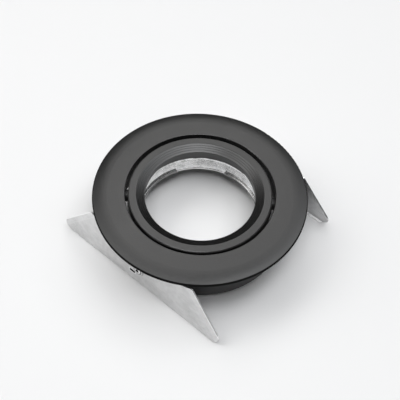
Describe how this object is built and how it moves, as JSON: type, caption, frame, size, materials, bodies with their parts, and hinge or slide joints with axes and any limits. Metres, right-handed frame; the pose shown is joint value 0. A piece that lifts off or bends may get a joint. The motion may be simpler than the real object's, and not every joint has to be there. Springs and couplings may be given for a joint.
{
  "type": "soffit downlight",
  "caption": "Round black recessed downlight frame with a tilting ring for a 50 mm reflector lamp, held in a soffit by two trapezoid leaf springs.",
  "frame": {"origin": "centre of the flange's seating plane, where the flange's underside rests on the ceiling", "axes": "+Z out of the face into the room (up in the picture), leaf springs on the +Y and -Y sides, tilt axis level and 37.8 degrees from +X"},
  "size_m": [0.088, 0.088, 0.025],
  "materials": {
    "black_casting": "die-cast aluminium under matte black powder coat",
    "black_ring": "turned aluminium, matte black coat, bare metal in the lower part of the bore",
    "spring_wire": "bright spring steel wire",
    "spring_steel": "satin spring steel sheet",
    "rivet_metal": "bright blind rivet",
    "stem_steel": "broken rivet stem, dark steel",
    "pin_steel": "blackened steel pin",
    "washer_plastic": "black nylon friction washer"
  },
  "bodies": {
    "frame": {"housing": "black_casting", "leaf_spring_front": "spring_steel", "leaf_spring_rear": "spring_steel", "leaf_rivets": "rivet_metal", "rivet_mandrels": "stem_steel", "pivot_pins": "pin_steel", "pivot_washers": "washer_plastic"},
    "gimbal": {"gimbal_ring": "black_ring", "lamp_circlip": "spring_wire"}
  },
  "joints": [
    {"name": "gimbal_tilt", "type": "hinge", "parent": "frame", "child": "gimbal", "pos_m": [0, 0, -0.0045], "axis": [0.7902, 0.6129, 0], "range_deg": [-30, 30]}
  ]
}
